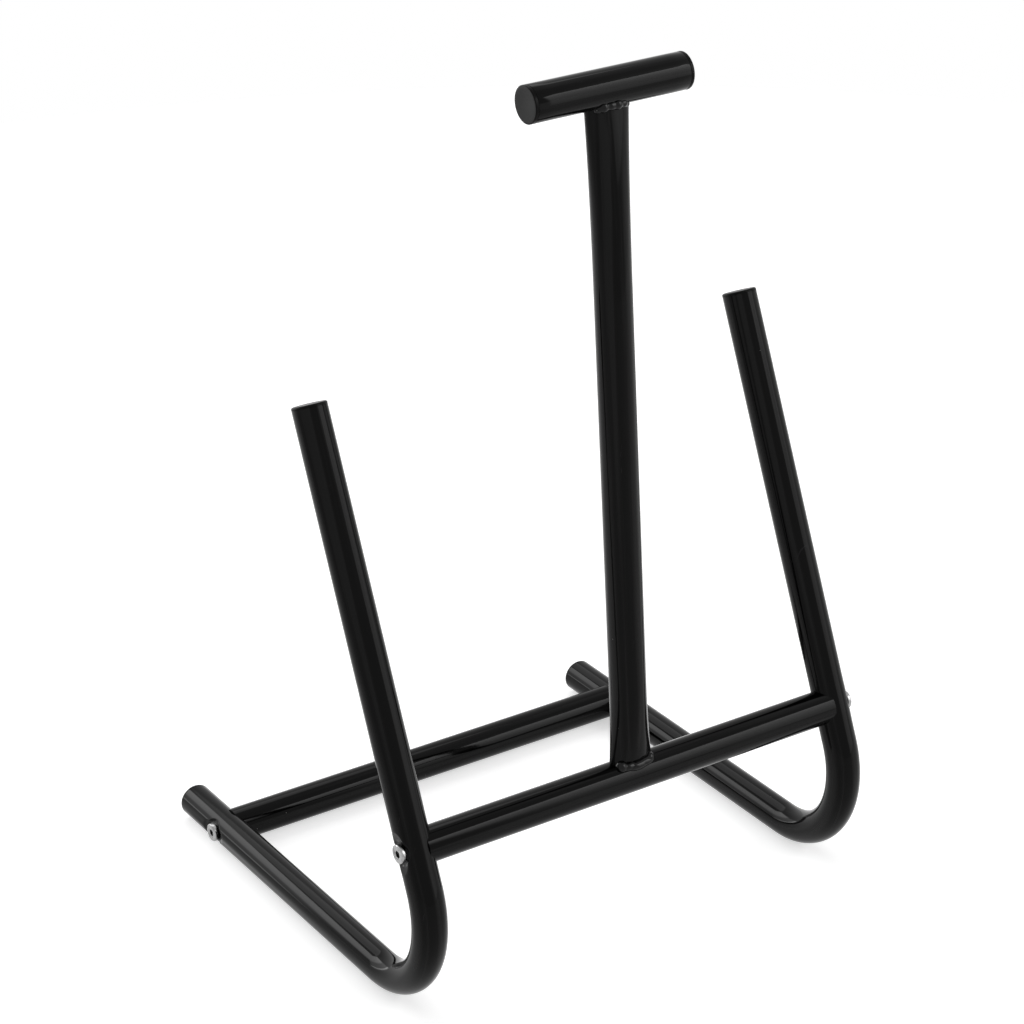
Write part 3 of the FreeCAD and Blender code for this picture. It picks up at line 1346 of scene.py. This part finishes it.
@dataclass
class Handle:
    """The T handle's tube."""

    rack: RackFrame
    wall: float = 1.5 * MM
    count: int = 128
    ring_step: float = 12.0 * MM
    end_round: float = 0.4 * MM
    end_steps: int = 3
    end_angle: float = math.radians(40.0)

    def build(self, finishes: Finishes) -> bpy.types.Object:
        """Shapes and dresses the tube.

        Args:
            finishes: The materials.

        Returns:
            The finished tube.
        """
        length = self.rack.extent("handle_tube").x
        start = self.rack.handle_middle - RIGHT * length / 2
        blank = Blank.ring("grip_bar", self.rack.handle_radius, self.count, axes_matrix(start, UP, RIGHT))
        blank.edit_all()
        blank.run(RIGHT, spread(0.0, length, self.ring_step))
        blank.close()
        blank.outwards()
        blank.thicken(self.wall)
        blank.round_edges(self.end_round, self.end_steps, self.end_angle)
        blank.smooth()
        blank.lay_grain(straight_grain(self.rack.handle_middle, RIGHT))
        return blank.finish(finishes.paint, Slot.PAINT, "handle_tube")


# ---------------------------------------------------------------------------------------------
# Weld beads
# ---------------------------------------------------------------------------------------------

@dataclass(frozen=True)
class Drop:
    """One drop of weld metal: its place along the bead, its size and how far it is drawn out."""

    share: float
    size: float
    stretch: float = 1.0


def even_drops(length: float, pitch: float = 3.2 * MM, size: float = 0.93, swing: float = 0.07,
               turn: float = 3.7) -> tuple[Drop, ...]:
    """Drops of about one size, a pitch apart.

    Args:
        length: Length of the bead.
        pitch: Distance from drop to drop.
        size: Middle size of a drop.
        swing: How far the sizes swing round it.
        turn: How far the swing turns from drop to drop.

    Returns:
        The drops.
    """
    count = max(2, round(length / pitch))
    return tuple(Drop(i / count, size + swing * math.cos(turn * i)) for i in range(count + 1))


@dataclass
class WeldBead:
    """A bead in the corner between an oval post end and the tube across it."""

    name: str
    post: Post
    end: PostEnd
    face: Face
    length: float
    drops: tuple[Drop, ...]
    leg: float = 4.0 * MM
    wobble: float = 0.25 * MM
    wobble_turn: float = 2.4
    ball_segments: int = 24
    ball_rings: int = 16
    voxel: float = 0.42 * MM
    settle_factor: float = 0.5
    settle_rounds: int = 14

    def root(self, x: float) -> Vector:
        """The corner that the bead fills.

        Args:
            x: Distance from the middle of the post.

        Returns:
            The point in the post's own frame.
        """
        reach = min(1.0, (2 * x / self.post.end_width) ** 2)
        y = self.face.value * self.post.end_depth / 2 * math.sqrt(1 - reach)
        rise = math.sqrt(self.end.tube_radius ** 2 - min(self.end.tube_radius ** 2, y ** 2))
        return Vector((x, y, self.end.seat + self.end.direction * rise))

    def build(self, finishes: Finishes) -> bpy.types.Object:
        """Shapes and dresses the bead.

        Args:
            finishes: The materials.

        Returns:
            The finished bead.
        """
        clear_selection()
        balls = []
        for i, drop in enumerate(self.drops):
            place = self.root(self.length * (drop.share - 0.5))
            place.z += math.sin(self.wobble_turn * i + self.face.value) * self.wobble
            bpy.ops.mesh.primitive_uv_sphere_add(segments=self.ball_segments, ring_count=self.ball_rings,
                                                 radius=self.leg * drop.size, location=place,
                                                 scale=(drop.stretch, 1.0, 1.0))
            balls.append(bpy.context.active_object)
        clear_selection()
        for ball in balls:
            ball.select_set(True)
        bpy.context.view_layer.objects.active = balls[0]
        bpy.ops.object.join()
        blank = Blank(self.name)
        blank.bake(Matrix.Identity(4))
        blank.apply("REMESH", mode="VOXEL", voxel_size=self.voxel)
        blank.apply("SMOOTH", factor=self.settle_factor, iterations=self.settle_rounds)
        blank.smooth(math.pi)
        blank.bake(self.post.rack.post_place)
        return blank.finish(finishes.weld, Slot.PAINT, self.end.node)


# ---------------------------------------------------------------------------------------------
# Bolts
# ---------------------------------------------------------------------------------------------

@dataclass
class SocketBolt:
    """A low-head socket bolt, modelled once on local Z and copied to the four crossings."""

    rack: RackFrame
    count: int = 96
    head_height: float = 3.0 * MM
    head_chamfer: float = 1.1 * MM
    chamfer_steps: int = 5
    chamfer_profile: float = 0.55
    socket_flats: float = 5.0 * MM
    socket_depth: float = 1.9 * MM
    funnel_count: int = 48
    funnel_depth: float = 0.3 * MM
    funnel_mouth: float = 1.3
    funnel_taper: float = 0.78
    # Reach of the socket's painted shade: across the socket, and down from the head's top.
    shade_reach: float = 1.02
    shade_edge: float = 0.4 * MM
    edge_round: float = 0.12 * MM
    edge_steps: int = 2
    edge_angle: float = math.radians(38.0)
    shank_radius: float = 4.0 * MM
    tip_chamfer: float = 0.8 * MM
    first_turn: float = 0.4
    next_turn: float = 0.9

    @property
    def head_radius(self) -> float:
        """Radius of the head."""
        return self.rack.extent("bolt_rear_left").y / 2

    @property
    def shank_length(self) -> float:
        """From under the head to the tip."""
        return self.rack.extent("bolt_rear_left").x - self.head_height

    @property
    def socket_corner(self) -> float:
        """From the socket's axis to one of its six corners."""
        return self.socket_flats / 2 / math.cos(math.pi / 6)

    def model(self) -> Blank:
        """Shapes the bolt with its head's seat at local Z 0.

        Returns:
            The bolt.
        """
        blank = Blank.rod("socket_bolt", self.head_radius, 0.0, self.head_height, self.count)
        mesh = blank.edit()
        self.choose(mesh, lambda centre: centre.z < SAME)
        bpy.ops.mesh.inset(thickness=self.head_radius - self.shank_radius)
        blank.extrude(-UP * (self.shank_length - self.tip_chamfer))
        blank.extrude(-UP * self.tip_chamfer)
        shrink = (self.shank_radius - self.tip_chamfer) / self.shank_radius
        bpy.ops.transform.resize(value=(shrink, shrink, 1.0))
        rim = [e for e in mesh.edges if all(abs(v.co.z - self.head_height) < SAME for v in e.verts)]
        bpy.ops.mesh.select_all(action="DESELECT")
        bpy.ops.mesh.select_mode(type="EDGE")
        for edge in rim:
            edge.select_set(True)
        bmesh.update_edit_mesh(blank.object.data)
        bpy.ops.mesh.bevel(offset=self.head_chamfer, segments=self.chamfer_steps,
                           profile=self.chamfer_profile, affect="EDGES")
        blank.close()
        above = 2 * self.head_height
        blank.cut(Blank.rod("socket", self.socket_corner, self.head_height - self.socket_depth, above, 6))
        funnel = Blank.rod("funnel", self.socket_corner * self.funnel_mouth,
                           self.head_height - self.funnel_depth, above, self.funnel_count)
        self.choose(funnel.edit(), lambda centre: centre.z < self.head_height - self.funnel_depth)
        bpy.ops.transform.resize(value=(self.funnel_taper, self.funnel_taper, 1.0))
        funnel.close()
        blank.cut(funnel)
        blank.round_edges(self.edge_round, self.edge_steps, self.edge_angle)
        blank.smooth()
        return blank

    @staticmethod
    def choose(mesh: bmesh.types.BMesh, test: Callable[[Vector], bool]) -> None:
        """Selects the level faces whose middle passes a test.

        Args:
            mesh: The edit mesh.
            test: Says whether a middle passes.
        """
        bpy.ops.mesh.select_mode(type="FACE")
        bpy.ops.mesh.select_all(action="DESELECT")
        for face in mesh.faces:
            if abs(face.normal.z) > 0.99 and test(face.calc_center_median()):
                face.select_set(True)

    def paint_socket_shade(self, bolt: bpy.types.Object, place: Matrix, finishes: Finishes) -> None:
        """Gives the faces inside the socket their own dark finish, a painted shade.

        Args:
            bolt: A finished bolt.
            place: Its placement.
            finishes: The materials.
        """
        # The faces inside the socket get painted shade as their second material.
        bolt.data.materials.append(finishes.socket)
        back = place.inverted()
        for face in bolt.data.polygons:
            centre = back @ face.center
            inside = math.hypot(centre.x, centre.y) < self.shade_reach * self.socket_corner
            if inside and 0.0 < centre.z < self.head_height - self.shade_edge:
                face.material_index = 1

    def build(self, finishes: Finishes) -> list[bpy.types.Object]:
        """Models the bolt and sets a copy at each crossing.

        Args:
            finishes: The materials.

        Returns:
            The four bolts.
        """
        model = self.model()
        bolts = []
        for row in Row:
            for side in Side:
                seat = self.rack.crossing(row, side)
                seat.x += side.value * (self.rack.side_radius - self.rack.press_depth)
                turn = Matrix.Rotation(self.first_turn + self.next_turn * len(bolts), 4, "Z")
                place = axes_matrix(seat, self.rack.along(row), RIGHT * side.value) @ turn
                name = row.value + "_" + side.label
                twin = model.copy("fixing_bolt_" + name, place)
                bolts.append(twin.finish(finishes.zinc, Slot.ZINC, "bolt_" + name))
                self.paint_socket_shade(bolts[-1], place, finishes)
        bpy.data.objects.remove(model.object)
        return bolts


# ---------------------------------------------------------------------------------------------
# End caps
# ---------------------------------------------------------------------------------------------

@dataclass
class EndCap:
    """A push-in plastic cap, turned about local Z with its flange above 0.

    The dish is hollowed in the flange's face: each of its stops gives a share of the face's radius
    and the share of the dish's depth there.
    """

    radius: float
    flange: float
    edge: float
    tube_wall: float = 1.5 * MM
    clearance: float = 0.05 * MM
    rib_height: float = 0.7 * MM
    rib_count: int = 3
    stub_length: float = 14.0 * MM
    stub_wall: float = 1.6 * MM
    cup_floor: float = 0.5 * MM
    dish: float = 0.25 * MM
    dish_stops: tuple[tuple[float, float], ...] = ((0.0, 1.0), (0.45, 0.7), (0.85, 0.12))
    seam: float = 0.22 * MM
    steps: int = 96
    edge_steps: int = 8
    sharp: float = math.radians(32.0)

    def profile(self) -> list[Vector]:
        """Draws the cap's outline.

        Returns:
            Its points, from the axis outside to the axis inside.
        """
        face = self.radius - self.edge
        points = [(share * face, self.flange - depth * self.dish) for share, depth in self.dish_stops]
        for i in range(self.edge_steps + 1):
            turn = math.pi / 2 * i / self.edge_steps
            points.append((self.radius - self.edge * (1 - math.sin(turn)),
                           self.flange - self.edge * (1 - math.cos(turn))))
        rib = self.radius - self.tube_wall - self.clearance
        core = rib - self.rib_height
        points += [(self.radius, self.seam), (self.radius - self.seam, 0.0), (core, 0.0)]
        pitch = self.stub_length / self.rib_count
        for i in range(self.rib_count):
            barb = -pitch * (i + 0.5)
            points += [(core, barb), (rib, barb), (core, -pitch * (i + 1))]
        cup = core - self.stub_wall
        points += [(cup, -self.stub_length), (cup, -self.cup_floor), (0.0, -self.cup_floor)]
        return [Vector((across, 0.0, height)) for across, height in points]

    def model(self) -> Blank:
        """Spins the outline into the cap.

        Returns:
            The cap.
        """
        points = self.profile()
        clear_selection()
        bpy.ops.mesh.primitive_plane_add(size=MM)
        blank = Blank("cap_model")
        mesh = blank.edit()
        blank.select(mesh, list(mesh.verts)[1:])
        bpy.ops.mesh.delete(type="VERT")
        mesh.verts.ensure_lookup_table()
        mesh.verts[0].co = points[0]
        blank.select(mesh, [mesh.verts[0]])
        for here, there in zip(points, points[1:]):
            bpy.ops.mesh.extrude_vertices_move(TRANSFORM_OT_translate={"value": there - here})
        bpy.ops.mesh.select_all(action="SELECT")
        bpy.ops.mesh.spin(steps=self.steps, angle=2 * math.pi, center=(0.0, 0.0, 0.0), axis=UP)
        blank.close()
        blank.outwards()
        blank.smooth(self.sharp)
        return blank


@dataclass
class CapSet:
    """The six caps: on the floor legs, on the leg tips and on the handle."""

    rack: RackFrame
    handle_flange: float = 2.5 * MM
    side_edge: float = 1.5 * MM
    handle_edge: float = 0.6 * MM

    def build(self, finishes: Finishes) -> list[bpy.types.Object]:
        """Models the two kinds of cap and sets a copy at each tube end.

        Args:
            finishes: The materials.

        Returns:
            The six caps.
        """
        rack = self.rack
        side_cap = EndCap(rack.side_radius, rack.side_flange, self.side_edge).model()
        handle_cap = EndCap(rack.handle_radius, self.handle_flange, self.handle_edge).model()
        handle_length = rack.extent("handle_tube").x
        tip = rack.bend_end + rack.up_leg * rack.leg_length
        caps = []
        for side in Side:
            x = side.value * rack.side_x
            outwards = RIGHT * side.value
            rear_end = Vector((x, rack.floor_end_y, rack.side_radius))
            leg_end = Vector((x, tip.y, tip.z))
            handle_end = rack.handle_middle + outwards * handle_length / 2
            ends = ((side_cap, "rear_plug_", "rear_cap_", axes_matrix(rear_end, RIGHT, REARWARDS)),
                    (side_cap, "leg_plug_", "leg_cap_", axes_matrix(leg_end, RIGHT, rack.up_leg)),
                    (handle_cap, "grip_plug_", "handle_cap_", axes_matrix(handle_end, UP, outwards)))
            for model, name, node, place in ends:
                twin = model.copy(name + side.label, place)
                caps.append(twin.finish(finishes.plastic, Slot.PLASTIC, node + side.label))
        bpy.data.objects.remove(side_cap.object)
        bpy.data.objects.remove(handle_cap.object)
        return caps


# ---------------------------------------------------------------------------------------------
# Studio
# ---------------------------------------------------------------------------------------------

def area_lamp(name: str, width: float, height: float, radiance: float) -> bpy.types.Object:
    """Adds a rectangular lamp that the camera doesn't see.

    Args:
        name: Name of the lamp.
        width: Its width.
        height: Its height.
        radiance: Its brightness.

    Returns:
        The lamp, at the origin and facing down.
    """
    data = bpy.data.lights.new(name, "AREA")
    data.shape = "RECTANGLE"
    data.size = width
    data.size_y = height
    data.energy = radiance * math.pi * data.size * data.size_y
    lamp = bpy.data.objects.new(name, data)
    lamp.visible_camera = False
    bpy.context.scene.collection.objects.link(lamp)
    return lamp


@dataclass(frozen=True)
class Softbox:
    """A soft lamp that stands upright round the rack, brighter at some heights than at others.

    Each stop gives a share of the lamp's height and the share of its brightness there.
    """

    name: str
    azimuth: float
    distance: float
    low: float
    high: float
    width: float
    radiance: float
    stops: tuple[tuple[float, float], ...]
    soft_edge: float = 0.12

    def build(self) -> None:
        """Adds the lamp, facing the rack's upright axis."""
        lamp = area_lamp(self.name, self.width, self.high - self.low, self.radiance)
        self.shade(lamp.data)
        turn = math.radians(self.azimuth)
        outwards = Vector((math.sin(turn), -math.cos(turn), 0.0))
        place = outwards * self.distance + UP * (self.low + self.high) / 2
        lamp.matrix_world = axes_matrix(place, UP.cross(outwards), outwards)

    def shade(self, data: bpy.types.AreaLight) -> None:
        """Lets the lamp's brightness follow its stops, from its lower edge to its upper one.

        Args:
            data: The lamp.
        """
        data.use_nodes = True
        data.node_tree.nodes.clear()
        graph = Graph(data.node_tree)
        across = graph.add("ShaderNodeSeparateXYZ")
        graph.join(graph.add("ShaderNodeNewGeometry").outputs["Parametric"], across.inputs[0])
        ramp = graph.add("ShaderNodeValToRGB")
        graph.join(across.outputs["Y"], ramp.inputs["Fac"])
        points = ramp.color_ramp.elements
        for _ in self.stops[2:]:
            points.new(0.5)
        for point, (height, share) in zip(points, self.stops):
            point.position = height
            point.color = (share, share, share, 1.0)
        left = graph.ramp(across.outputs["X"], 0.0, self.soft_edge)
        right = graph.ramp(across.outputs["X"], 1.0, 1.0 - self.soft_edge)
        glow = graph.add("ShaderNodeEmission")
        graph.join(ramp.outputs["Color"], glow.inputs["Color"])
        graph.join(graph.math("MULTIPLY", left, right), glow.inputs["Strength"])
        output = graph.add("ShaderNodeOutputLight")
        graph.join(glow.outputs[0], output.inputs["Surface"])


@dataclass
class Studio:
    """A white floor and surround, with soft lamps."""

    floor_radius: float = 1.9
    floor_count: int = 96
    floor_level: float = -0.0003
    floor_glow: float = 0.55
    floor_colour: Colour = (0.8, 0.8, 0.8, 1.0)
    surround: float = 0.42
    surround_colour: Colour = (1.0, 1.0, 1.0, 1.0)
    overhead_size: float = 2.4
    overhead_radiance: float = 1.6
    overhead_place: tuple[float, float, float] = (0.3, 2.2, 2.6)
    lamps: tuple[Softbox, ...] = (
        Softbox("front right softbox", azimuth=42.0, distance=3.1, low=0.05, high=2.95, width=2.1,
                radiance=8.0, stops=((0.0, 0.1), (0.3, 0.24), (0.7, 0.54), (0.9, 0.72), (0.955, 1.0),
                                     (0.985, 1.0), (1.0, 0.1))),
        Softbox("rear left softbox", azimuth=-150.0, distance=2.0, low=0.24, high=1.5, width=1.2,
                radiance=6.6, stops=((0.0, 0.2), (0.3, 0.28), (0.45, 0.8), (0.75, 1.0), (0.97, 1.0),
                                     (1.0, 0.5))),
        Softbox("rear left strip", azimuth=-150.0, distance=2.0, low=0.0, high=0.22, width=1.2,
                radiance=6.0, stops=((0.0, 0.0), (0.5, 1.0), (1.0, 0.2))),
    )

    def build(self) -> None:
        """Adds the floor, the surround and the lamps."""
        self.floor()
        self.world()
        overhead = area_lamp("overhead lamp", self.overhead_size, self.overhead_size, self.overhead_radiance)
        overhead.location = self.overhead_place
        for lamp in self.lamps:
            lamp.build()

    def floor(self) -> None:
        """Adds the floor: white where it is lit, and greyer in the rack's shadow."""
        clear_selection()
        bpy.ops.mesh.primitive_circle_add(vertices=self.floor_count, radius=self.floor_radius,
                                          fill_type="NGON", location=(0.0, 0.0, self.floor_level))
        floor = bpy.context.active_object
        floor.name = "studio_floor"
        material = bpy.data.materials.new("white floor")
        material.use_nodes = True
        material.node_tree.nodes.clear()
        graph = Graph(material.node_tree)
        paper = graph.add("ShaderNodeBsdfDiffuse")
        paper.inputs["Color"].default_value = self.floor_colour
        glow = graph.add("ShaderNodeEmission")
        graph.join(graph.math("MULTIPLY", self.white_rays(graph), self.floor_glow), glow.inputs["Strength"])
        both = graph.add("ShaderNodeAddShader")
        graph.join(paper.outputs[0], both.inputs[0])
        graph.join(glow.outputs[0], both.inputs[1])
        output = graph.add("ShaderNodeOutputMaterial")
        graph.join(both.outputs[0], output.inputs["Surface"])
        floor.data.materials.append(material)

    @staticmethod
    def white_rays(graph: Graph) -> bpy.types.NodeSocket:
        """Tells the rays that see the background from those that only light the rack.

        Args:
            graph: The graph to add to.

        Returns:
            One for camera, glossy and transmission rays, and nothing for the rest.
        """
        path = graph.add("ShaderNodeLightPath")
        seen = graph.math("MAXIMUM", path.outputs["Is Camera Ray"], path.outputs["Is Glossy Ray"])
        return graph.math("MAXIMUM", seen, path.outputs["Is Transmission Ray"])

    def world(self) -> None:
        """Sets a white surround for what is seen and reflected, and a softer one for light."""
        world = bpy.data.worlds.new("white surround")
        world.use_nodes = True
        world.node_tree.nodes.clear()
        graph = Graph(world.node_tree)
        strength = graph.ramp(self.white_rays(graph), 0.0, 1.0, self.surround, 1.0)
        background = graph.add("ShaderNodeBackground")
        background.inputs["Color"].default_value = self.surround_colour
        graph.join(strength, background.inputs["Strength"])
        output = graph.add("ShaderNodeOutputWorld")
        graph.join(background.outputs[0], output.inputs["Surface"])
        bpy.context.scene.world = world


@dataclass(frozen=True)
class ViewCamera:
    """The camera, by its place, its heading and its focal length."""

    place: tuple[float, float, float] = (-1.1245, -1.7765, 1.2746)
    azimuth: float = math.radians(-32.385)
    elevation: float = math.radians(25.261)
    roll: float = math.radians(-1.191)
    focal_pixels: float = 3189.5
    frame_pixels: float = 1024.0
    sensor: float = 36.0
    clip_end: float = 50.0

    def build(self) -> None:
        """Adds the camera and makes it the scene's."""
        data = bpy.data.cameras.new("view camera")
        data.sensor_width = self.sensor
        data.sensor_fit = "HORIZONTAL"
        data.lens = self.focal_pixels / self.frame_pixels * self.sensor
        data.clip_end = self.clip_end
        camera = bpy.data.objects.new("view camera", data)
        back = Vector((math.sin(self.azimuth) * math.cos(self.elevation),
                       -math.cos(self.azimuth) * math.cos(self.elevation), math.sin(self.elevation)))
        across = (-back).cross(UP).normalized()
        upwards = across.cross(-back)
        right = math.cos(self.roll) * across + math.sin(self.roll) * upwards
        top = -math.sin(self.roll) * across + math.cos(self.roll) * upwards
        turn = Matrix((right, top, back)).transposed().to_4x4()
        camera.matrix_world = Matrix.Translation(Vector(self.place)) @ turn
        bpy.context.scene.collection.objects.link(camera)
        bpy.context.scene.camera = camera


# ---------------------------------------------------------------------------------------------
# The whole rack
# ---------------------------------------------------------------------------------------------

@dataclass
class BootRack:
    """The rack as an assembly of its tubes, welds, bolts and caps."""

    rack: RackFrame
    finishes: Finishes
    foot_bead: float = 25.5 * MM
    grip_bead: float = 22.5 * MM
    back_bead: float = 16.0 * MM
    foot_drops: tuple[Drop, ...] = (Drop(0.03, 1.2, 0.9), Drop(0.26, 0.84, 2.0), Drop(0.5, 0.9, 2.6),
                                    Drop(0.76, 0.88, 2.4), Drop(1.0, 0.84, 1.1))
    grip_drops: tuple[Drop, ...] = (Drop(0.0, 0.72), Drop(0.17, 1.0), Drop(0.42, 0.8, 1.5),
                                    Drop(0.64, 0.94, 1.1), Drop(0.86, 0.78, 1.2), Drop(1.0, 0.66))

    def beads(self, post: Post) -> list[WeldBead]:
        """Lists the four weld beads, at the front and back of each post end.

        Args:
            post: The post.

        Returns:
            The beads.
        """
        back = even_drops(self.back_bead)
        return [WeldBead("foot_bead_front", post, post.foot, Face.FRONT, self.foot_bead, self.foot_drops),
                WeldBead("grip_bead_front", post, post.top, Face.FRONT, self.grip_bead, self.grip_drops),
                WeldBead("foot_bead_back", post, post.foot, Face.BACK, self.back_bead, back),
                WeldBead("grip_bead_back", post, post.top, Face.BACK, self.back_bead, back)]

    def dress_inserts(self) -> list[bpy.types.Object]:
        """Gives the hidden inserts their steel.

        Returns:
            The four inserts.
        """
        inserts = [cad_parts["insert_" + row.value + "_" + side.label] for row in Row for side in Side]
        for insert in inserts:
            insert.data.materials.clear()
            insert.data.materials.append(self.finishes.steel)
        return inserts

    def build(self) -> list[bpy.types.Object]:
        """Builds every sub-assembly in order.

        Returns:
            All the pieces.
        """
        post = Post(self.rack)
        makers = [SideTube(self.rack, side) for side in Side]
        makers += [CrossTube(self.rack, row) for row in Row]
        makers += [post, Handle(self.rack)] + self.beads(post)
        pieces = [maker.build(self.finishes) for maker in makers]
        pieces += SocketBolt(self.rack).build(self.finishes)
        pieces += CapSet(self.rack).build(self.finishes)
        return pieces + self.dress_inserts()


def main() -> None:
    """Builds the rack, the studio and the camera, and reports each piece."""
    logging.basicConfig(level=logging.INFO, format="%(name)s: %(message)s")
    bpy.context.scene.view_settings.view_transform = "Standard"
    for piece in BootRack(RackFrame(), Finishes()).build():
        LOG.info("made %s with %d faces", piece.name, len(piece.data.polygons))
    Studio().build()
    ViewCamera().build()


if __name__ == "__main__":
    main()
